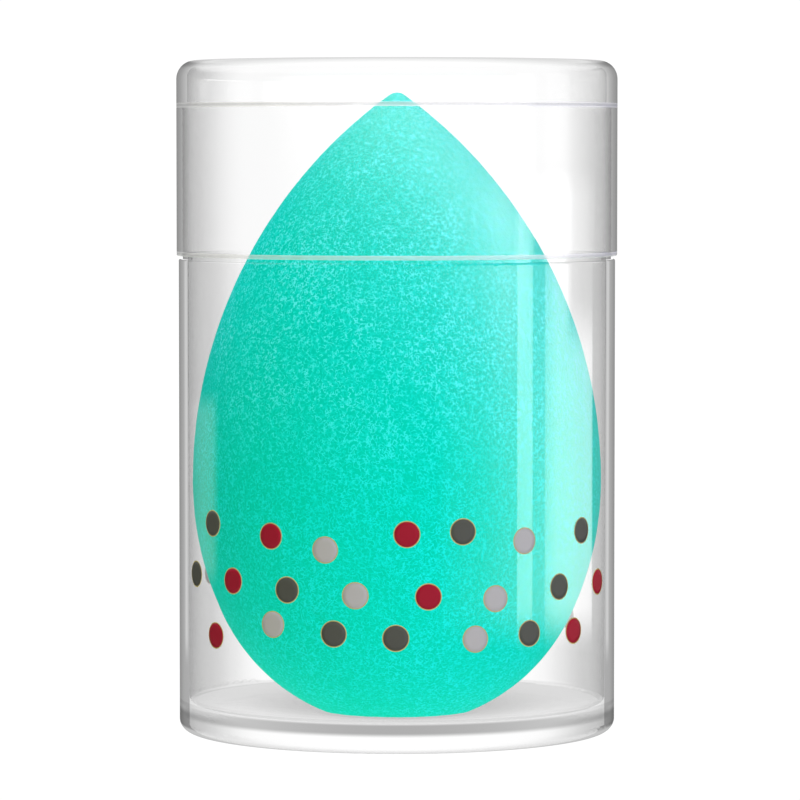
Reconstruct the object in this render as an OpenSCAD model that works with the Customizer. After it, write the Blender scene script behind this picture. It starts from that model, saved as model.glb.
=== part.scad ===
// Teardrop makeup sponge in its clear moulded canister.
// Millimetres. The origin is on the axis, at the plane the canister stands on, and +Z is up.
// Everything is sized outwards from the sponge: the canister's bore clears it, the canister's
// neck stops short of its tip, and the lid slips over that neck.

/* [Sponge] */
// Width of the sponge at its widest point
sponge_d = 39.9; // [36:0.1:44]
// Radius of the outline's arc from the widest point up to the tip
shoulder_arc_r = 46.4; // [38:0.2:60]
// Radius of the outline's arc below the widest point
flank_arc_r = 30.75; // [27:0.05:40]
// Depth below the widest point of the centre that the round underside is drawn about
under_drop = 5.265; // [3:0.005:8]
// Width of the flat that the foam presses itself into where it stands
stand_flat_d = 14.7; // [8:0.1:20]
// Width of the blunt end of the tip
tip_end_d = 0.8; // [0.4:0.1:3]

/* [Canister] */
// Air all round the sponge at its widest point
bore_gap = 0.45; // [0.3:0.05:2]
// How much narrower in radius the bore is at the floor than at the mouth, so that it leaves its core
bore_draft = 0.1; // [0:0.02:0.14]
// Wall thickness of the neck that the lid slips over
neck_wall = 0.45; // [0.4:0.05:1.2]
// Ledge outside the neck, which brings the wall out level with the lid
shoulder_step = 0.4; // [0.3:0.05:1]
// Height of the neck
neck_h = 14.9; // [8:0.1:20]
// Rounding of the outer edge that the neck steps up from
shoulder_round = 0.2; // [0.1:0.05:0.25]
// Thickness of the floor
floor_t = 0.8; // [0.6:0.05:1.2]
// Depth of the recess under the middle of the floor
foot_recess = 1.1; // [0.8:0.1:2]
// How far the floor dishes down from the wall to the flat middle that centres the sponge
floor_dish = 0.9; // [0.4:0.1:1.4]
// Fillet between the floor and the bore
floor_fillet = 0.6; // [0.3:0.1:1]
// Rounding of the outer bottom corner
foot_round = 1.2; // [0.8:0.1:2]
// Width of the ring that the canister stands on
foot_land = 1.2; // [0.8:0.1:2]
// Fillet in the top corner of the recess under the floor
recess_fillet = 0.5; // [0.2:0.1:0.6]
// Width of the mark that the moulding gate leaves under the floor
gate_d = 1.6; // [1:0.1:3]
// Height of that gate mark
gate_h = 0.3; // [0.2:0.05:0.5]

/* [Lid] */
// Running clearance between the neck and the lid's skirt, in radius
lid_fit = 0.05; // [0.03:0.01:0.1]
// Wall thickness of the lid's skirt
lid_wall = 0.55; // [0.45:0.05:1.2]
// Gap left between the skirt and the canister's shoulder
skirt_gap = 0.3; // [0.2:0.05:0.8]
// How far the sponge's tip stands above the canister's mouth
tip_proud = 1.3; // [0:0.1:3]
// Air between the tip and the lid's ceiling
tip_headroom = 2.4; // [1.5:0.1:6]
// Thickness of the lid's flat top
lid_top_t = 0.65; // [0.5:0.05:1.5]
// Rounding of the lid's outer top edge
crown_round = 1.8; // [1:0.1:2.4]
// Rounding inside the lid's top corner
ceiling_fillet = 0.9; // [0.4:0.1:1.4]
// Rounding of the edges of the neck's rim and of the lid's mouth
edge_round = 0.15; // [0.05:0.01:0.2]

/* [Hidden] */
$fn = 160;

// Sponge: an arc up to the tip, and below the widest point two more, each tangent to the last
sponge_r = sponge_d / 2;
shoulder_axis_x = sponge_r - shoulder_arc_r;
tip_rise = sqrt(pow(shoulder_arc_r, 2) - pow(tip_end_d / 2 - shoulder_axis_x, 2));
flank_axis_x = sponge_r - flank_arc_r;
centre_gap = sqrt(pow(flank_axis_x, 2) + pow(under_drop, 2));
under_arc_r = flank_arc_r - centre_gap;
flank_depth = flank_arc_r * under_drop / centre_gap;
belly_depth = under_drop + sqrt(pow(under_arc_r, 2) - pow(stand_flat_d / 2, 2));
sponge_h = belly_depth + tip_rise;

// Canister: radii from the axis, heights from the plane it stands on
overrun = 1;
bore_r = sponge_r + bore_gap;
neck_r = bore_r + neck_wall;
case_r = neck_r + shoulder_step;
seat_z = foot_recess + floor_t;
floor_edge_z = seat_z + floor_dish;
floor_edge_r = bore_r - bore_draft - floor_fillet;
seat_r = stand_flat_d / 2 + floor_dish;
foot_outer_r = case_r - foot_round;
foot_inner_r = foot_outer_r - foot_land;
rim_z = seat_z + sponge_h - tip_proud;
shoulder_z = rim_z - neck_h;
// Height of the floor's slope at the radius where the recess under it ends
recess_edge_z = foot_recess + floor_dish * (foot_inner_r - seat_r) / (floor_edge_r - seat_r);

// Lid
skirt_r = neck_r + lid_fit;
lid_r = skirt_r + lid_wall;
skirt_z = shoulder_z + skirt_gap;
ceiling_z = rim_z + tip_proud + tip_headroom;
top_z = ceiling_z + lid_top_t;

// Half outline of a disc or plug of the given radius between two heights,
// with its outer edge rounded at the bottom and at the top
module rounded_plug(radius, low, high, low_round, high_round) {
    translate([0, low + low_round])
        square([radius, high - high_round - low - low_round]);
    translate([0, low])
        square([radius - low_round, high - low - high_round]);
    translate([0, high - high_round])
        square([radius - high_round, high_round]);
    translate([radius - low_round, low + low_round])
        circle(r = low_round);
    translate([radius - high_round, high - high_round])
        circle(r = high_round);
}

// Stretch of the sponge's half outline between two heights, bounded by one circle
module arc_band(arc_r, centre, low, high) {
    intersection() {
        translate(centre)
            circle(r = arc_r);
        translate([0, low])
            square([sponge_d, high - low]);
    }
}

// Half outline of the sponge, with its widest point at height zero
module sponge_outline() {
    arc_band(shoulder_arc_r, [shoulder_axis_x, 0], 0, tip_rise);
    arc_band(flank_arc_r, [flank_axis_x, 0], -flank_depth, 0);
    arc_band(under_arc_r, [0, -under_drop], -belly_depth, -flank_depth);
}

// Half outline of the hollow that holds the sponge: dished floor, filleted corner,
// drafted bore and a lead-in at the mouth
module bore_outline() {
    polygon([
        [0, seat_z],
        [seat_r, seat_z],
        [floor_edge_r, floor_edge_z],
        [bore_r - bore_draft, floor_edge_z + floor_fillet],
        [bore_r, rim_z - edge_round],
        [bore_r + edge_round, rim_z],
        [bore_r + edge_round, rim_z + overrun],
        [0, rim_z + overrun]
    ]);
    translate([floor_edge_r, floor_edge_z + floor_fillet])
        circle(r = floor_fillet);
}

// Half outline of the recess under the floor, which keeps the floor's thickness even
module recess_outline() {
    polygon([
        [0, -overrun],
        [foot_inner_r, -overrun],
        [foot_inner_r, recess_edge_z - recess_fillet],
        [foot_inner_r - recess_fillet, recess_edge_z - recess_fillet],
        [foot_inner_r - recess_fillet, recess_edge_z],
        [seat_r, foot_recess],
        [0, foot_recess]
    ]);
    translate([foot_inner_r - recess_fillet, recess_edge_z - recess_fillet])
        circle(r = recess_fillet);
}

// Canister body: foot ring, dished floor, straight wall, shoulder and neck
module case_body() {
    color([0.86, 0.88, 0.88, 0.35]) {
        rotate_extrude()
            difference() {
                union() {
                    rounded_plug(case_r, 0, shoulder_z, foot_round, shoulder_round);
                    rounded_plug(neck_r, seat_z, rim_z, edge_round, edge_round);
                }
                bore_outline();
                recess_outline();
            }
        translate([0, 0, foot_recess - gate_h])
            cylinder(h = gate_h + floor_t / 2, d = gate_d);
    }
}

// Half outline of the space inside the lid: the skirt's bore, then the ledge that
// rests on the neck's rim, then the narrower crown
module lid_hollow_outline() {
    polygon([
        [0, skirt_z - overrun],
        [skirt_r + edge_round, skirt_z - overrun],
        [skirt_r + edge_round, skirt_z],
        [skirt_r, skirt_z + edge_round],
        [skirt_r, rim_z],
        [0, rim_z]
    ]);
    rounded_plug(bore_r, rim_z - edge_round, ceiling_z, edge_round, ceiling_fillet);
}

// Slip-over lid
module lid() {
    color([0.92, 0.94, 0.94, 0.3])
        rotate_extrude()
            difference() {
                rounded_plug(lid_r, skirt_z, top_z, edge_round, crown_round);
                lid_hollow_outline();
            }
}

// Foam teardrop, standing on the flat middle of the canister's floor
module sponge() {
    color([0.16, 0.82, 0.74])
        translate([0, 0, seat_z + belly_depth])
            rotate_extrude()
                sponge_outline();
}

case_body();
lid();
sponge();
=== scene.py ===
"""Looks of the teardrop makeup sponge in its clear canister.

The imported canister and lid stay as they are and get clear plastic. The sponge is modelled again as
foam, and the dots printed on the canister are added. Lengths are in millimetres, and MM turns them
into metres. Directions round the object are in degrees to the right of the camera's side.
"""

import math
import random

import bpy
import numpy as np
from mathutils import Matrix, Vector, noise


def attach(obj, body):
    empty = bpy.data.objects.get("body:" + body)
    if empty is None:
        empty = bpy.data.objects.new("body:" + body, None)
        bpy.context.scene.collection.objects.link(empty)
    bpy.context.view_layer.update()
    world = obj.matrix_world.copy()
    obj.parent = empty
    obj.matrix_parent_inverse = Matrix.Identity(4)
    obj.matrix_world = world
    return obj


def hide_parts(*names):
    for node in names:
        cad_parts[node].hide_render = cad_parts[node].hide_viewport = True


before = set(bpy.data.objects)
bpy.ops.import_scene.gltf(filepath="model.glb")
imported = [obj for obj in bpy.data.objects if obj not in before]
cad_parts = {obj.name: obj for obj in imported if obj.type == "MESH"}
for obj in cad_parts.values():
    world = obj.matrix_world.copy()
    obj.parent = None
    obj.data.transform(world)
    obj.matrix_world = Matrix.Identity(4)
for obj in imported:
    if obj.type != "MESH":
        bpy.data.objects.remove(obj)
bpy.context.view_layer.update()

MM = 0.001

# Sponge outline: the same tangent arcs as its solid, with the tip rounded off
SPONGE_SEAT = 1.9
SPONGE_R = 19.95
SHOULDER_ARC_R = 46.4
FLANK_ARC_R = 30.75
UNDER_DROP = 5.265
UNDER_ARC_R = 18.735
FLANK_DEPTH = 13.475
STAND_FLAT_R = 7.35
TIP_ROUND = 1.25

# Points that each stretch of the outline is worked out with, before it is spaced evenly
FLAT_POINTS = 60
LOWER_ARC_POINTS = 300
SHOULDER_POINTS = 600
DOME_POINTS = 30
FOAM_RINGS = 190
FOAM_SPOKES = 512

# Foam relief: how far the skin lies in, what unevenness and pores add, and their waves per millimetre
RELIEF_DEPTH = 0.025
GRAIN_DEPTH = 0.016
GRAIN_WAVES = 1.25
SWELL_DEPTH = 0.012
SWELL_WAVES = 0.45
PORE_DEPTH = 0.3
PORE_WAVES = 1.05
PORE_START = 0.45
PORE_OFFSET = Vector((31, 17, 9))
TIP_RELIEF = 0.03

# Net of the foam's cell edges: waves per metre, and the parts of each noise that it is made from
NET_WAVES = 3000.0
NET_WIDTH = 0.13
BREAK_WAVES = 2300.0
BREAK_RANGE = (0.35, 0.6)
BROKEN_NET = 0.35
PATCH_WAVES = 160.0
PATCH_RANGE = (0.35, 0.65, 0.7, 1.0)
NET_BUMP = 0.5
NET_BUMP_DEPTH = 0.05
NET_ROUGHNESS = 0.5
PIT_ROUGHNESS = 1.0
FOAM_SPECULAR = 0.1

# Foam colours from the pits to the tops of the net, below and above the heights they change over; the
# higher colours hold a painted highlight
FOAM_LOW = (
    (0.0, (0.0, 0.73, 0.45)),
    (0.45, (0.0, 0.84, 0.61)),
    (0.9, (0.004, 0.93, 0.75)),
)
# Painted highlight: higher up the tops of the net are paler and whiter and the net has more contrast,
# standing for the light from above that they catch
FOAM_HIGH = (
    (0.0, (0.0, 0.7, 0.47)),
    (0.45, (0.008, 0.85, 0.66)),
    (0.9, (0.115, 0.96, 0.85)),
)
FOAM_CHANGE_Z = (22, 42)

# Canister and lid, as packed: radii and heights, and the pairs that masks fade between
CASE_R = 21.25
SKIRT_Z = 46.34
RIM_Z = 60.94
LID_FLAT_R = 19.65
FLOOR_Z = (0.7, 3.0)
FLOOR_SOFT = 0.1
FILLET_Z = (2.6, 3.3)
FOOT_Z = (2.15, 2.75)
# Radii over which the shadow painted on the floor round the sponge fades out
CONTACT_SHADOW_R = (6, 20)
GATE_R = (1.0, 1.5)
NECK_Z = (SKIRT_Z - 0.05, SKIRT_Z + 0.1)
INNER_SKIRT_Z = (SKIRT_Z + 0.2, SKIRT_Z + 0.3)
MID_LID_Z = (50, 55)
CROWN_Z = (RIM_Z - 0.1, RIM_Z + 0.1)
TOP_EDGE_R = (LID_FLAT_R - 0.05, LID_FLAT_R + 0.15)

# How a surface of the plastic faces, as pairs that its masks fade between: the first two by how far
# its normal points away from the axis, and the others by how far it points up
FACES_IN = (-0.7, -0.5)
FACES_OUT = (0.2, 0.4)
FACES_DOWN = (-0.5, -0.3)
FACES_UP = (0.5, 0.8)
EDGE_FACES_UP = (0.5, 0.75)
QUITE_LEVEL = (0.9, 0.99)
# With this blend, Layer Weight gives 1 less the cosine of the angle to the eye
EVEN_BLEND = 0.5

# Dots on the front and the back of the canister, in staggered rows that are loosened at random
DOT_R = 1.185
DOTS_PER_ROW = 20
ROW_HEIGHTS = (10.9, 15.5, 20.1)
DOT_SEED = 11
DOT_SHIFT = 1.0
DOT_LIFT = 1.1
PRINTED_TURN = math.radians(68)
DOT_ORDER = ("olive", "grey", "olive", "crimson", "grey", "olive", "crimson")
ROW_OFFSET = 3
DISC_SPOKES = 40
DISC_RINGS = 3

# Ink: a thin layer just off the wall, and the outline that overlaps each dot
INK_LOW = 0.006
INK_THICK = 0.02
OUTLINE_W = 0.09
OUTLINE_OVERLAP = 0.02
OUTLINE_THICK = 0.8 * INK_THICK
INK_ROUGHNESS = 0.5
INK_SPECULAR = 0.2
# Colour seen from outside, colour seen from inside, tinted redder against the foam's green light, and
# a painted glow that lights the inside faces
INKS = {
    "olive": ((0.078, 0.08, 0.06), (0.2, 0.13, 0.13), (0.36, 0.35, 0.36)),
    "grey": ((0.44, 0.43, 0.38), (0.3, 0.2, 0.2), (0.47, 0.46, 0.47)),
    "crimson": ((0.33, 0.006, 0.02), (0.2, 0.05, 0.08), (0.4, 0.17, 0.3)),
}
# The gold outlines, also with a painted glow inside
GOLD_INK = ((0.5, 0.42, 0.13), (0.2, 0.16, 0.12), (0.42, 0.4, 0.38))

# Camera
EYE = Vector((0.3, -470.0, 57.0)) * MM
TILT = math.radians(3.0175)
LENS = 216.9
SENSOR_WIDTH = 36
NEAREST = 0.01
FARTHEST = 20

# Mirror shares of the clear plastic, by how edge-on it is seen: (0 face on to 1 edge on, share)
CASE_NEAR_FRONT = (
    (0.0, 0.02),
    (0.074, 0.022),
    (0.174, 0.033),
    (0.21, 0.036),
    (0.26, 0.045),
    (0.3, 0.06),
    (0.36, 0.08),
    (0.4, 0.1),
    (0.48, 0.14),
    (0.55, 0.18),
    (0.62, 0.22),
    (0.67, 0.27),
    (0.7, 0.28),
)
CASE_NEAR_EDGE = (
    (0.864, 0.68),
    (0.903, 0.711),
    (1.0, 0.75),
)
CASE_NEAR = (
    *CASE_NEAR_FRONT,
    (0.71, 0.55),
    (0.716, 0.567),
    (0.731, 0.457),
    (0.748, 0.39),
    (0.767, 0.457),
    (0.787, 0.588),
    (0.809, 0.623),
    *CASE_NEAR_EDGE,
)
# The same low on the canister, where the bright line inside its edge has faded
CASE_NEAR_LOW = (
    *CASE_NEAR_FRONT,
    (0.71, 0.6),
    (0.74, 0.6),
    (0.78, 0.61),
    (0.81, 0.625),
    *CASE_NEAR_EDGE,
)
LOW_Z = (6.5, 10.0)
CASE_FAR = (
    (0.0, 0.0),
    (0.2, 0.004),
    (0.242, 0.011),
    (0.286, 0.038),
    (0.31, 0.061),
    (0.336, 0.095),
    (0.364, 0.138),
    (0.394, 0.167),
    (0.427, 0.204),
    (0.463, 0.247),
    (0.502, 0.275),
    (0.547, 0.303),
    (0.6, 0.315),
    (0.656, 0.336),
    (0.698, 0.356),
    (0.748, 0.384),
    (0.788, 0.402),
    (0.838, 0.432),
    (0.914, 0.45),
    (1.0, 0.3),
)
LID_SHINE = (
    (0.0, 0.02),
    (0.074, 0.022),
    (0.174, 0.03),
    (0.256, 0.031),
    (0.3, 0.034),
    (0.35, 0.053),
    (0.406, 0.089),
    (0.473, 0.146),
    (0.555, 0.21),
    (0.604, 0.24),
    (0.662, 0.265),
    (0.733, 0.333),
    (0.81, 0.42),
    (0.9, 0.47),
    (1.0, 0.52),
)
# The mirror dims where it is seen edge on: (from, to, brightness at the first, at the second)
EDGE_DIM = (0.5, 0.75, 1.0, 0.05)
# Parts of those shares that the neck, the skirt over it and inner or underneath surfaces take
NECK_PART = 0.5
NECK_FAR_PART = 0.05
SKIRT_PART = 0.78
SKIRT_EDGE_ON = (0.6, 0.75)
SKIRT_INSIDE_PART = 0.06
CROWN_INSIDE_PART = 0.28
UNDER_DIM = (-0.5, -0.15, 0.6, 1.0)
# Shares of level surfaces, and the brightness of the mirror on inner ones
FLOOR_SHARE = 0.02
LID_TOP_SHARE = 0.01
INSIDE_MIRROR = 0.05

# How clear the plastic is: the canister's floor from above, by how edge-on it is seen
FLOOR_CLEAR = (
    (0.0, 0.9),
    (0.5, 0.85),
    (0.8, 0.68),
    (0.883, 0.83),
    (0.96, 0.94),
    (1.0, 0.95),
)
# Painted contact shadow: how clear the floor is round the foot of the sponge; and the floor where a
# ray leaves the plastic through it
CONTACT_SHADOW_CLEAR = 0.68
BACK_CLEAR = 0.95
# The grey band of the floor's edge through the near wall, from the wall's middle to its sides
PLATE_EDGE = (
    (0.0, 0.42),
    (0.5, 0.68),
    (0.66, 0.72),
    (0.8, 0.95),
    (1.0, 1.0),
)
EDGE_LOW_Z = (1.6, 2.1)
EDGE_HIGH_Z = (2.75, 3.05)
# The paler strip above that band
STRIP_CLEAR = 0.86
STRIP_Z = (2.9, 3.2)
STRIP_SOFT = 0.15
# The walls of the canister and of the lid
CASE_CLEAR = 0.998
LID_CLEAR = 0.999
# What the lid's upper edge takes away, by how edge-on it is seen
TOP_LINE = (
    (0.0, 0.0),
    (0.3, 0.0),
    (0.45, 0.12),
    (0.7, 0.3),
    (1.0, 0.3),
)
# The middle of the line at the neck's rim
RIM_CLEAR = 0.7
RIM_LINE_Z = (RIM_Z - 0.06, RIM_Z + 0.08)
RIM_LINE_SOFT = 0.06

# Painted highlights, white lines on the near wall at the lid's mouth and at the neck's rim: (share,
# lowest, highest, softness)
MOUTH_HIGHLIGHT = (0.45, SKIRT_Z, SKIRT_Z + 0.42, 0.04)
LID_RIM_HIGHLIGHT = (0.35, RIM_Z - 0.22, RIM_Z + 0.18, 0.06)
CASE_RIM_HIGHLIGHT = (0.3, RIM_Z - 0.22, RIM_Z, 0.04)
# Their tone across half their height: (from, to, tone in the middle, at the edges)
HIGHLIGHT_TONE = (0.35, 0.95, 0.82, 1.0)
# White of these painted highlights, warmed a little against the bluish lamps
HIGHLIGHT_WHITE = (1.0, 1.0, 0.92)

# Panels that the plastic mirrors, level with the object: (degrees, brightness)
PANEL_POWER = 6.6
PANELS = (
    (0, 0.0),
    (20, 0.0),
    (45, 0.15),
    (57, 0.25),
    (65.5, 0.3),
    (65.9, 1.0),
    (75.2, 1.0),
    (75.6, 0.37),
    (84.0, 0.37),
    (84.4, 0.68),
    (93, 0.72),
    (105, 0.5),
    (114, 0.38),
    (124.8, 0.3),
    (126, 0.04),
    (136, 0.08),
    (148, 0.06),
    (150, 0.0),
)
# Heights here are those of a direction of length 1
PANEL_LOW = -0.094
PANEL_HIGH = -0.012
PANEL_SOFT = 0.011
PANEL_TOP = 0.3
PANEL_UPPER = 0.3
# Light overhead
ABOVE = 0.15
ABOVE_RISE = (0.25, 0.4)
# The panels at the right are dimmer from here on and above this height
RIGHT_TURN = (98, 106)
RIGHT_DIM = (-0.045, -0.03, 1.0, 0.22)
# Panel at the right that only the lid's crown mirrors: where it brightens and where it ends
CROWN = 0.1
CROWN_FAR = 0.16
CROWN_TURN = (120, 140)
CROWN_END = (142, 150)
CROWN_LOW = 0.01
CROWN_SOFT = 0.004
# Dim panel behind at the left
LEFT = 0.07
LEFT_TURN = (-141, -115)
LEFT_TURN_SOFT = 8
LEFT_RISE = (-0.086, -0.056)
LEFT_RISE_SOFT = 0.006
# Glow above the camera, brightening with height and a little to the right: (height, brightness)
GLOW_LOW = -0.05
GLOW_HIGH = 0.01
GLOW_SLANT = 0.0258
GLOW = (
    (0.0, 0.0),
    (0.1, 0.03),
    (0.25, 0.08),
    (0.42, 0.15),
    (0.56, 0.3),
    (0.7, 0.5),
    (0.83, 0.74),
    (1.0, 1.0),
)
GLOW_START = (-75, -45)
GLOW_END = (55, 80)
GLOW_TOP = (0.05, 0.08)

# What the camera sees behind and below the object, and what light the open air adds
WHITE = 1.04
FILL = 0.05
FLOOR_HALF = 3000

# Lamps: (name, place, watts, colour)
LAMP_SIZE = 420
LAMP_AIM = Vector((0, 0, 30))
LAMPS = (
    ("right", (528, -528, 105), 3.0, (0.37, 0.37, 1.0)),
    ("top", (75, -75, 773), 2.44, (0.68, 0.68, 1.0)),
    ("front", (75, -527, 557), 2.5, (1.0, 1.0, 0.74)),
    ("back_left", (-368, 308, 608), 3.15, (0.72, 0.72, 1.0)),
)


class Web:
    """A node tree, with short calls for the nodes that the materials share."""

    def __init__(self, tree):
        self.nodes = tree.nodes
        self.link = tree.links.new
        self.nodes.clear()

    def put(self, socket, value):
        """Links a socket to an input, or sets the input to a number, vector or colour."""
        if isinstance(value, bpy.types.NodeSocket):
            self.link(value, socket)
        elif socket.type != "RGBA":
            socket.default_value = value
        elif isinstance(value, tuple):
            socket.default_value = (*value, 1)
        else:
            socket.default_value = (value, value, value, 1)

    def add(self, kind, inputs=None, **settings):
        """A new node with its inputs and its settings."""
        node = self.nodes.new("ShaderNode" + kind)
        for name, value in settings.items():
            setattr(node, name, value)
        for name, value in (inputs or {}).items():
            self.put(node.inputs[name], value)
        return node

    def math(self, operation, first, second=0.0):
        """Output of a math node."""
        return self.add("Math", {0: first, 1: second}, operation=operation).outputs[0]

    def vector(self, operation, inputs, output="Vector"):
        """Output of a vector math node."""
        return self.add("VectorMath", inputs, operation=operation).outputs[output]

    def ramp(self, value, stops):
        """Output of a colour ramp through (place, grey or colour) stops."""
        node = self.add("ValToRGB", {"Fac": value})
        elements = node.color_ramp.elements
        while len(elements) < len(stops):
            elements.new(0.5)
        for element, (place, tone) in zip(elements, stops):
            element.position = place
            if not isinstance(tone, tuple):
                tone = (tone, tone, tone)
            element.color = (*tone, 1)
        return node.outputs["Color"]

    def fade(self, value, start, end, low=0.0, high=1.0):
        """Output that runs smoothly from low to high as the value runs from start to end."""
        inputs = {"Value": value, "From Min": start, "From Max": end, "To Min": low, "To Max": high}
        return self.add("MapRange", inputs, interpolation_type="SMOOTHSTEP").outputs[0]

    def fade_out(self, value, start, end):
        """Output that runs smoothly from 1 to 0 as the value runs from start to end."""
        return self.fade(value, start, end, 1.0, 0.0)

    def between(self, value, low, high, soft):
        """Output that is 1 from low to high and fades to 0 over the distance soft outside them."""
        up = self.fade(value, low - soft, low)
        down = self.fade_out(value, high, high + soft)
        return self.both(up, down)

    def toned(self, mask, value, base):
        """Output that is base where the mask is 0 and value where it is 1."""
        inputs = {"Value": mask, "To Min": base, "To Max": value}
        return self.add("MapRange", inputs).outputs[0]

    def both(self, *masks):
        """Product of several masks."""
        result = masks[0]
        for mask in masks[1:]:
            result = self.math("MULTIPLY", result, mask)
        return result

    def other(self, mask):
        """What a mask leaves of 1."""
        return self.math("SUBTRACT", 1.0, mask)

    def mixed(self, mask, first, second):
        """Colour that goes from the first to the second with the mask."""
        inputs = {"Factor": mask, "A": first, "B": second}
        return self.add("Mix", inputs, data_type="RGBA").outputs["Result"]


def link(ob):
    """Puts an object in the scene and returns it."""
    bpy.context.scene.collection.objects.link(ob)
    return ob


def mesh_object(name, points, faces, smooth=True):
    """A new mesh object from points in millimetres and lists of corners."""
    mesh = bpy.data.meshes.new(name)
    mesh.from_pydata((np.asarray(points) * MM).tolist(), [], faces)
    mesh.validate()
    mesh.polygons.foreach_set("use_smooth", [smooth] * len(mesh.polygons))
    mesh.update()
    return link(bpy.data.objects.new(name, mesh))


def new_material(name):
    """An empty node material: the material, its web and its output."""
    mat = bpy.data.materials.new(name)
    mat.use_nodes = True
    web = Web(mat.node_tree)
    return mat, web, web.add("OutputMaterial")


def dress(ob, mat):
    """Gives an object one material in place of what it has."""
    if ob.data.materials:
        for i in range(len(ob.data.materials)):
            ob.data.materials[i] = mat
    else:
        ob.data.materials.append(mat)


def arc(centre, radius, start, end, count):
    """Points (r, z) on a circle from one angle to another, in degrees, both ends included."""
    angles = np.radians(np.linspace(start, end, count))
    return np.column_stack((centre[0] + radius * np.cos(angles), centre[1] + radius * np.sin(angles)))


def sponge_profile():
    """Half outline of the sponge from the middle of its flat underside to its tip, evenly spaced."""
    under_h = math.sqrt(UNDER_ARC_R**2 - STAND_FLAT_R**2)
    widest = SPONGE_SEAT + UNDER_DROP + under_h
    under_centre = (0.0, widest - UNDER_DROP)
    flank_centre = (SPONGE_R - FLANK_ARC_R, widest)
    shoulder_centre = (SPONGE_R - SHOULDER_ARC_R, widest)
    flat_angle = -math.degrees(math.acos(STAND_FLAT_R / UNDER_ARC_R))
    join_angle = -math.degrees(math.asin(FLANK_DEPTH / FLANK_ARC_R))
    # The dome that rounds the tip touches the shoulder's arc and is centred on the axis
    dome_side = SHOULDER_ARC_R - TIP_ROUND
    tip_angle = math.degrees(math.acos(-shoulder_centre[0] / dome_side))
    dome_centre = (0.0, widest + dome_side * math.sin(math.radians(tip_angle)))
    flat_r = np.linspace(0, STAND_FLAT_R, FLAT_POINTS)
    dense = np.vstack(
        (
            np.column_stack((flat_r, np.full(FLAT_POINTS, SPONGE_SEAT))),
            arc(under_centre, UNDER_ARC_R, flat_angle, join_angle, LOWER_ARC_POINTS)[1:],
            arc(flank_centre, FLANK_ARC_R, join_angle, 0, LOWER_ARC_POINTS)[1:],
            arc(shoulder_centre, SHOULDER_ARC_R, 0, tip_angle, SHOULDER_POINTS)[1:],
            arc(dome_centre, TIP_ROUND, tip_angle, 90, DOME_POINTS)[1:],
        )
    )
    steps = np.hypot(*np.diff(dense, axis=0).T)
    along = np.concatenate(([0], np.cumsum(steps)))
    even = np.linspace(0, along[-1], FOAM_RINGS + 2)
    return np.column_stack((np.interp(even, along, dense[:, 0]), np.interp(even, along, dense[:, 1])))


def foam_relief(point):
    """How far the foam lies below its outline at a point, in millimetres, never negative."""
    grain = noise.noise(point * GRAIN_WAVES)
    swell = noise.noise(point * SWELL_WAVES)
    pore = max(0.0, noise.noise(point * PORE_WAVES + PORE_OFFSET) - PORE_START)
    return max(0.0, RELIEF_DEPTH - GRAIN_DEPTH * grain - SWELL_DEPTH * swell + PORE_DEPTH * pore)


def make_sponge():
    """Foam teardrop: a lathed mesh with its unevenness and pores pushed into the surface."""
    profile = sponge_profile()
    turns = np.linspace(0, 2 * math.pi, FOAM_SPOKES, endpoint=False)
    spokes = np.column_stack((np.cos(turns), np.sin(turns)))
    inner = profile[1:-1]
    slope = profile[2:] - profile[:-2]
    out = np.column_stack((slope[:, 1], -slope[:, 0]))
    out /= np.linalg.norm(out, axis=1)[:, None]
    points = [(0.0, 0.0, profile[0, 1])]
    for (r, z), (out_r, out_z) in zip(inner, out):
        for c, s in spokes:
            depth = foam_relief(Vector((r * c, r * s, z)))
            points.append(((r - depth * out_r) * c, (r - depth * out_r) * s, z - depth * out_z))
    points.append((0.0, 0.0, profile[-1, 1] - TIP_RELIEF))
    last = len(points) - 1
    top = last - FOAM_SPOKES
    faces = []
    for i in range(FOAM_SPOKES):
        j = (i + 1) % FOAM_SPOKES
        faces.append((0, 1 + j, 1 + i))
        faces.append((last, top + i, top + j))
        for k in range(FOAM_RINGS - 1):
            a = 1 + k * FOAM_SPOKES
            b = a + FOAM_SPOKES
            faces.append((a + i, a + j, b + j, b + i))
    return mesh_object("foam_sponge", points, faces)


def foam_net(web, place):
    """Squiggly net of cell edges, broken up and stronger in some patches: 0 in the pits to 1."""
    squiggle = web.add("TexNoise", {"Vector": place, "Scale": NET_WAVES, "Detail": 1.0})
    off = web.math("ABSOLUTE", web.math("SUBTRACT", squiggle.outputs["Fac"], 0.5))
    ridges = web.fade_out(off, 0.0, NET_WIDTH)
    grain = web.add("TexNoise", {"Vector": place, "Scale": BREAK_WAVES, "Detail": 1.0})
    whole = web.fade(grain.outputs["Fac"], *BREAK_RANGE)
    cloud = web.add("TexNoise", {"Vector": place, "Scale": PATCH_WAVES, "Detail": 3.0})
    patches = web.fade(cloud.outputs["Fac"], *PATCH_RANGE)
    return web.both(ridges, web.toned(whole, 1.0, BROKEN_NET), patches)


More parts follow.
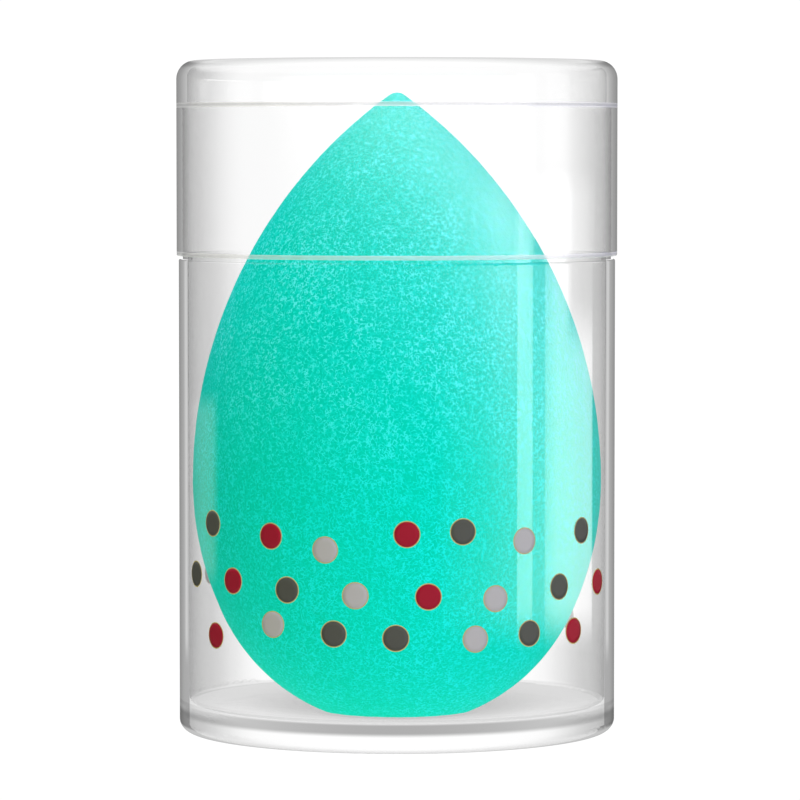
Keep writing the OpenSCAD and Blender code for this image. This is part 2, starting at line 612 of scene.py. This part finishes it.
def foam_material():
    """Fine-celled foam: saturated pits in a net of paler cell edges that catch the light, with a
    painted highlight on the edges higher up.
    """
    mat, web, out = new_material("foam_skin")
    place = web.add("TexCoord").outputs["Object"]
    net = foam_net(web, place)
    height = web.add("SeparateXYZ", {0: place}).outputs["Z"]
    # Painted highlight: higher up the foam takes the paler colours that stand for light from above
    painted_top_light = web.fade(height, FOAM_CHANGE_Z[0] * MM, FOAM_CHANGE_Z[1] * MM)
    colour = web.mixed(painted_top_light, web.ramp(net, FOAM_LOW), web.ramp(net, FOAM_HIGH))
    relief = {"Strength": NET_BUMP, "Distance": NET_BUMP_DEPTH * MM, "Height": net}
    skin = web.add(
        "BsdfPrincipled",
        {
            "Base Color": colour,
            "Normal": web.add("Bump", relief).outputs[0],
            "Roughness": web.toned(net, NET_ROUGHNESS, PIT_ROUGHNESS),
            "Specular IOR Level": FOAM_SPECULAR,
        },
    )
    web.link(skin.outputs[0], out.inputs["Surface"])
    return mat


def curved_disc(turn, height, inner_r, outer_r, low, high):
    """Points and faces of a thin disc or ring wrapped on the canister, as a closed shell."""
    points = []
    faces = []
    for lift in (high, low):
        reach = CASE_R + lift
        for r in np.linspace(inner_r, outer_r, DISC_RINGS + 1):
            for a in np.linspace(0, 2 * math.pi, DISC_SPOKES, endpoint=False):
                angle = turn + r * math.cos(a) / CASE_R
                points.append(
                    (reach * math.sin(angle), -reach * math.cos(angle), height + r * math.sin(a))
                )
    sheet = (DISC_RINGS + 1) * DISC_SPOKES
    edge = DISC_RINGS * DISC_SPOKES
    for i in range(DISC_SPOKES):
        j = (i + 1) % DISC_SPOKES
        for k in range(DISC_RINGS):
            a = k * DISC_SPOKES
            b = a + DISC_SPOKES
            faces.append((a + i, b + i, b + j, a + j))
            faces.append((sheet + a + j, sheet + b + j, sheet + b + i, sheet + a + i))
        faces.append((edge + i, sheet + edge + i, sheet + edge + j, edge + j))
        if inner_r > 0:
            faces.append((j, sheet + j, sheet + i, i))
    return points, faces


def make_print(name, dots, inner_r, outer_r, thick):
    """One piece holding every dot or outline of one colour, which casts no shadow on the foam."""
    points = []
    faces = []
    for turn, height in dots:
        more, corners = curved_disc(turn, height, inner_r, outer_r, INK_LOW, INK_LOW + thick)
        faces += [tuple(len(points) + c for c in face) for face in corners]
        points += more
    ob = mesh_object(name, points, faces)
    ob.visible_shadow = False
    ob.visible_diffuse = False
    return ob


def dot_places():
    """Loose staggered rows of dots on the front and the back, sorted by colour."""
    draw = random.Random(DOT_SEED)
    places = {colour: [] for colour in INKS}
    for row, height in enumerate(ROW_HEIGHTS):
        for i in range(DOTS_PER_ROW):
            turn = 2 * math.pi * (i + 0.5 * (row % 2)) / DOTS_PER_ROW
            turn += draw.uniform(-DOT_SHIFT, DOT_SHIFT) / CASE_R
            lift = draw.uniform(-DOT_LIFT, DOT_LIFT)
            if abs(math.cos(turn)) < math.cos(PRINTED_TURN):
                continue
            places[DOT_ORDER[(i + ROW_OFFSET * row) % len(DOT_ORDER)]].append((turn, height + lift))
    return places


def ink_material(name, colour, back_colour, glow):
    """Printed ink; seen from inside the canister it is paler from a painted glow, and its colour
    there is tinted against the foam's green light.
    """
    mat, web, out = new_material(name)
    place = web.add("TexCoord").outputs["Object"]
    flat = web.vector("MULTIPLY", {0: place, 1: (1, 1, 0)})
    side = web.add("NewGeometry").outputs["True Normal"]
    turn = web.vector("DOT_PRODUCT", {0: flat, 1: side}, "Value")
    outside = web.math("GREATER_THAN", turn, 0.0)
    # Painted light: the inside faces glow, lifting them out of the sponge's shade
    ink = web.add(
        "BsdfPrincipled",
        {
            "Base Color": web.mixed(outside, back_colour, colour),
            "Emission Color": glow,
            "Emission Strength": web.other(outside),
            "Roughness": INK_ROUGHNESS,
            "Specular IOR Level": INK_SPECULAR,
        },
    )
    web.link(ink.outputs[0], out.inputs["Surface"])
    return mat


class Lay:
    """How a point of the plastic lies: its height, where its surface faces and how it is seen."""

    def __init__(self, web):
        self.web = web
        coords = web.add("TexCoord")
        spot = coords.outputs["Object"]
        self.height = web.add("SeparateXYZ", {0: spot}).outputs["Z"]
        flat = web.vector("MULTIPLY", {0: spot, 1: (1, 1, 0)})
        self.radius = web.vector("LENGTH", {0: flat}, "Value")
        away = web.vector("NORMALIZE", {0: flat})
        # The normal is turned towards the ray, so it is turned back where the ray meets a back face
        self.back = web.add("NewGeometry").outputs["Backfacing"]
        self.front = web.other(self.back)
        sign = web.math("SUBTRACT", self.front, self.back)
        normal = web.vector("SCALE", {0: coords.outputs["Normal"], "Scale": sign})
        outward = web.vector("DOT_PRODUCT", {0: away, 1: normal}, "Value")
        self.upward = web.add("SeparateXYZ", {0: normal}).outputs["Z"]
        self.levelness = web.math("ABSOLUTE", self.upward)
        self.inside = web.fade_out(outward, *FACES_IN)
        self.outside = web.fade(outward, *FACES_OUT)
        self.facing = web.add("LayerWeight", {"Blend": EVEN_BLEND}).outputs["Facing"]
        # The same as if the rounded corners were straight walls
        as_wall = {"Blend": EVEN_BLEND, "Normal": away}
        self.wall_facing = web.add("LayerWeight", as_wall).outputs["Facing"]

    def above(self, low, high):
        """Mask that rises from 0 to 1 between two heights."""
        return self.web.fade(self.height, low * MM, high * MM)

    def below(self, low, high):
        """Mask that falls from 1 to 0 between two heights."""
        return self.web.fade_out(self.height, low * MM, high * MM)

    def level_with(self, low, high, soft):
        """Mask that is 1 between two heights, with soft ends."""
        return self.web.between(self.height, low * MM, high * MM, soft * MM)

    def on_near_wall(self, mask):
        """The part of a mask that lies on the outside of the wall nearest to the eye."""
        return self.web.both(mask, self.outside, self.front)


def see_through(web, out, share, gloss_tint, tint, highlight_share, highlight_tone):
    """See-through plastic with a mirror share, over which a share of white, a painted highlight, may
    lie.
    """
    see = web.add("BsdfTransparent", {"Color": tint})
    gloss = web.add("BsdfGlossy", {"Color": gloss_tint, "Roughness": 0.0})
    clear = web.add("MixShader", {"Fac": share, 1: see.outputs[0], 2: gloss.outputs[0]})
    white = web.vector("MULTIPLY", {0: highlight_tone, 1: HIGHLIGHT_WHITE})
    # Painted highlight: a white diffuse layer lit by the lamps
    painted_white = web.add("BsdfDiffuse", {"Color": white})
    whole = web.add("MixShader", {"Fac": highlight_share, 1: clear.outputs[0], 2: painted_white.outputs[0]})
    web.link(whole.outputs[0], out.inputs["Surface"])


def painted_edge_line(web, lay, share, low, high, soft):
    """Painted highlight: a white line on the near wall between two heights, whiter at its edges: its
    share and tone.
    """
    middle = (low + high) / 2 * MM
    half = (high - low) / 2 * MM
    start, end, middle_tone, edge_tone = HIGHLIGHT_TONE
    line = lay.on_near_wall(lay.level_with(low, high, soft))
    off = web.math("ABSOLUTE", web.math("SUBTRACT", lay.height, middle))
    tone = web.fade(off, start * half, end * half, middle_tone, edge_tone)
    return web.both(line, share), tone


def case_share(web, lay):
    """Mirror share of the canister, which grows towards its sides."""
    in_neck = lay.above(*NECK_Z)
    in_foot = lay.below(*FOOT_Z)
    low_shine = web.ramp(lay.facing, CASE_NEAR_LOW)
    near = web.toned(lay.below(*LOW_Z), low_shine, web.ramp(lay.facing, CASE_NEAR))
    neck = web.both(web.ramp(lay.facing, LID_SHINE), NECK_PART)
    near = web.toned(in_neck, neck, near)
    far = web.ramp(lay.facing, CASE_FAR)
    # The solid foot has no inner wall, so its outer one takes both shares
    near = web.math("ADD", near, web.both(in_foot, far, web.other(near)))
    near = web.both(near, lay.outside, web.fade(lay.upward, *UNDER_DIM))
    far = web.both(far, lay.inside, web.other(in_foot), web.toned(in_neck, NECK_FAR_PART, 1.0))
    wall = web.math("ADD", near, far)
    floor = web.both(lay.level_with(*FLOOR_Z, FLOOR_SOFT), web.fade(lay.levelness, *FACES_UP))
    off_gate = web.fade(lay.radius, GATE_R[0] * MM, GATE_R[1] * MM)
    return web.both(web.toned(floor, FLOOR_SHARE, wall), lay.front, off_gate)


def case_tint(web, lay):
    """Clearness of the canister: its floor is greyer, with a painted shadow round the sponge, and so
    is its edge.
    """
    floor = web.both(lay.level_with(*FLOOR_Z, FLOOR_SOFT), web.fade(lay.upward, *FACES_UP))
    # A ray that leaves the plastic through the floor's top or fillet meets the floor only once
    fillet = web.both(lay.level_with(*FILLET_Z, FLOOR_SOFT), lay.back, web.other(lay.outside))
    floor = web.math("MAXIMUM", floor, fillet)
    # Painted shadow: the floor is darker round the foot of the sponge
    painted_shadow = web.fade(lay.radius, CONTACT_SHADOW_R[0] * MM, CONTACT_SHADOW_R[1] * MM, CONTACT_SHADOW_CLEAR, 1.0)
    from_above = web.both(web.ramp(lay.facing, FLOOR_CLEAR), painted_shadow)
    tint = web.toned(floor, web.toned(lay.front, from_above, BACK_CLEAR), CASE_CLEAR)
    strip = lay.on_near_wall(lay.level_with(*STRIP_Z, STRIP_SOFT))
    tint = web.toned(strip, STRIP_CLEAR, tint)
    edge = lay.on_near_wall(web.both(lay.above(*EDGE_LOW_Z), lay.below(*EDGE_HIGH_Z)))
    return web.toned(edge, web.ramp(lay.wall_facing, PLATE_EDGE), tint)


def case_plastic():
    """Clear canister, with a white line painted as a highlight at the rim of its neck."""
    mat, web, out = new_material("clear_case")
    lay = Lay(web)
    gloss_tint = web.toned(lay.inside, INSIDE_MIRROR, web.fade(lay.facing, *EDGE_DIM))
    highlight_share, tone = painted_edge_line(web, lay, *CASE_RIM_HIGHLIGHT)
    see_through(web, out, case_share(web, lay), gloss_tint, case_tint(web, lay), highlight_share, tone)
    return mat


def lid_share(web, lay):
    """Mirror share of the lid, whose outside carries nearly all of its shine."""
    in_crown = lay.above(*CROWN_Z)
    faces_down = web.fade_out(lay.upward, *FACES_DOWN)
    inner = web.both(web.math("MAXIMUM", lay.inside, faces_down), lay.above(*INNER_SKIRT_Z))
    over_neck = web.toned(web.fade(lay.wall_facing, *SKIRT_EDGE_ON), 1.0, SKIRT_PART)
    shine = web.ramp(lay.wall_facing, LID_SHINE)
    inner_part = web.toned(in_crown, CROWN_INSIDE_PART, SKIRT_INSIDE_PART)
    wall = web.both(shine, web.toned(in_crown, 1.0, over_neck), web.toned(inner, inner_part, 1.0))
    return web.toned(web.fade(lay.levelness, *QUITE_LEVEL), LID_TOP_SHARE, wall)


def lid_tint(web, lay):
    """Clearness of the lid, with a grey line round its top and one over the neck's rim."""
    at_edge = web.fade(lay.radius, TOP_EDGE_R[0] * MM, TOP_EDGE_R[1] * MM)
    is_up = web.fade(lay.upward, *EDGE_FACES_UP)
    top_line = web.both(web.ramp(lay.facing, TOP_LINE), is_up, at_edge, lay.front)
    rim_line = lay.on_near_wall(lay.level_with(*RIM_LINE_Z, RIM_LINE_SOFT))
    return web.toned(rim_line, RIM_CLEAR, web.toned(top_line, 0.0, LID_CLEAR))


def lid_plastic():
    """Clear lid, with white lines painted as highlights at its mouth and over the neck's rim."""
    mat, web, out = new_material("clear_lid")
    lay = Lay(web)
    gloss_tint = web.toned(lay.inside, INSIDE_MIRROR, web.fade(lay.wall_facing, *EDGE_DIM))
    mouth_highlight, mouth_tone = painted_edge_line(web, lay, *MOUTH_HIGHLIGHT)
    rim_highlight, rim_tone = painted_edge_line(web, lay, *LID_RIM_HIGHLIGHT)
    highlight_share = web.math("ADD", mouth_highlight, rim_highlight)
    tone = web.toned(lay.above(*MID_LID_Z), rim_tone, mouth_tone)
    see_through(web, out, lid_share(web, lay), gloss_tint, lid_tint(web, lay), highlight_share, tone)
    return mat


def radians(angles):
    """Angles in degrees as radians."""
    return [math.radians(angle) for angle in angles]


def panel_light(web, turn, rise):
    """Brightness of the panels in a direction, given how far it is turned and how high it is."""
    share = web.add("MapRange", {"Value": turn, "From Max": math.pi}).outputs[0]
    ring = web.ramp(share, [(degrees / 180, value) for degrees, value in PANELS])
    level = web.between(rise, PANEL_LOW, PANEL_HIGH, PANEL_SOFT)
    upper = web.both(web.between(rise, PANEL_HIGH + PANEL_SOFT, PANEL_TOP, PANEL_SOFT), PANEL_UPPER)
    right = web.fade(turn, *radians(RIGHT_TURN))
    dim = web.toned(right, web.fade(rise, *RIGHT_DIM), 1.0)
    light = web.both(ring, web.math("MAXIMUM", level, upper), dim)
    crown = web.both(
        web.between(rise, CROWN_LOW, PANEL_TOP, CROWN_SOFT),
        right,
        web.fade(turn, *radians(CROWN_TURN), CROWN, CROWN_FAR),
        web.fade_out(turn, *radians(CROWN_END)),
    )
    light = web.math("MAXIMUM", light, crown)
    left = web.both(
        web.between(turn, *radians(LEFT_TURN), math.radians(LEFT_TURN_SOFT)),
        web.between(rise, *LEFT_RISE, LEFT_RISE_SOFT),
        LEFT,
    )
    above = web.both(web.fade(rise, *ABOVE_RISE), ABOVE)
    return web.math("ADD", web.math("ADD", light, left), above)


def glow_light(web, turn, rise):
    """Brightness of the glow above the camera in a direction."""
    slant = web.math("ADD", rise, web.both(turn, GLOW_SLANT))
    inputs = {"Value": slant, "From Min": GLOW_LOW, "From Max": GLOW_HIGH}
    climb = web.add("MapRange", inputs).outputs[0]
    return web.both(
        web.ramp(climb, GLOW),
        web.fade(turn, *radians(GLOW_START)),
        web.fade_out(turn, *radians(GLOW_END)),
        web.fade_out(rise, *GLOW_TOP),
    )


def make_world():
    """White to the camera, soft grey to the foam, and panels and a glow for the plastic."""
    world = bpy.data.worlds.new("studio")
    bpy.context.scene.world = world
    world.use_nodes = True
    web = Web(world.node_tree)
    out = web.add("OutputWorld")
    path = web.add("LightPath")
    ray = web.add("TexCoord").outputs["Generated"]
    axes = web.add("SeparateXYZ", {0: ray})
    toward = web.math("MULTIPLY", axes.outputs["Y"], -1.0)
    turn = web.math("ARCTAN2", axes.outputs["X"], toward)
    rise = axes.outputs["Z"]
    light = web.math("ADD", panel_light(web, turn, rise), glow_light(web, turn, rise))
    panels = web.add("Background", {"Color": light, "Strength": PANEL_POWER})
    fill = web.add("Background", {"Color": 1.0, "Strength": FILL})
    backdrop = web.add("Background", {"Color": 1.0, "Strength": WHITE})
    glossy = path.outputs["Is Glossy Ray"]
    others = web.add("MixShader", {"Fac": glossy, 1: fill.outputs[0], 2: panels.outputs[0]})
    camera = path.outputs["Is Camera Ray"]
    final = web.add("MixShader", {"Fac": camera, 1: others.outputs[0], 2: backdrop.outputs[0]})
    web.link(final.outputs[0], out.inputs["Surface"])


def make_floor():
    """Plain white floor, which the plastic doesn't mirror."""
    corners = [(-1, -1, 0), (1, -1, 0), (1, 1, 0), (-1, 1, 0)]
    points = np.array(corners) * FLOOR_HALF
    ob = mesh_object("floor", points, [(0, 1, 2, 3)], smooth=False)
    mat, web, out = new_material("white_floor")
    glow = web.add("Emission", {"Strength": WHITE})
    web.link(glow.outputs[0], out.inputs["Surface"])
    dress(ob, mat)
    ob.visible_glossy = False


def make_lamp(name, place, power, colour):
    """A soft square lamp aimed at the middle of the object."""
    lamp = bpy.data.lights.new(name, "AREA")
    lamp.shape = "SQUARE"
    lamp.size = LAMP_SIZE * MM
    lamp.energy = power
    lamp.color = colour
    ob = link(bpy.data.objects.new(name, lamp))
    ob.location = Vector(place) * MM
    ob.rotation_euler = (LAMP_AIM - Vector(place)).to_track_quat("-Z", "Y").to_euler()
    ob.visible_camera = False
    ob.visible_glossy = False


def make_camera():
    """Camera level with the lid's lower part, looking slightly down."""
    data = bpy.data.cameras.new("camera")
    data.lens = LENS
    data.sensor_width = SENSOR_WIDTH
    data.clip_start = NEAREST
    data.clip_end = FARTHEST
    ob = link(bpy.data.objects.new("camera", data))
    ob.location = EYE
    ob.rotation_euler = (math.pi / 2 - TILT, 0, 0)
    bpy.context.scene.camera = ob


make_camera()
make_world()
make_floor()
for name, place, power, colour in LAMPS:
    make_lamp(name, place, power, colour)

sponge = make_sponge()
dress(sponge, foam_material())
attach(sponge, "sponge")
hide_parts("sponge")

dress(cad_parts["case_body"], case_plastic())
dress(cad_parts["lid"], lid_plastic())
for name in ("case_body", "lid"):
    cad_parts[name].visible_shadow = False
    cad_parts[name].visible_diffuse = False

places = dot_places()
for colour, ink in INKS.items():
    dots = make_print(f"print_{colour}", places[colour], 0, DOT_R, INK_THICK)
    dress(dots, ink_material(f"ink_{colour}", *ink))
    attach(dots, "case")
every_dot = places["olive"] + places["grey"] + places["crimson"]
outlines = make_print(
    "print_outlines", every_dot, DOT_R - OUTLINE_OVERLAP, DOT_R + OUTLINE_W, OUTLINE_THICK
)
dress(outlines, ink_material("ink_gold", *GOLD_INK))
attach(outlines, "case")

bpy.context.scene.view_settings.view_transform = "Standard"
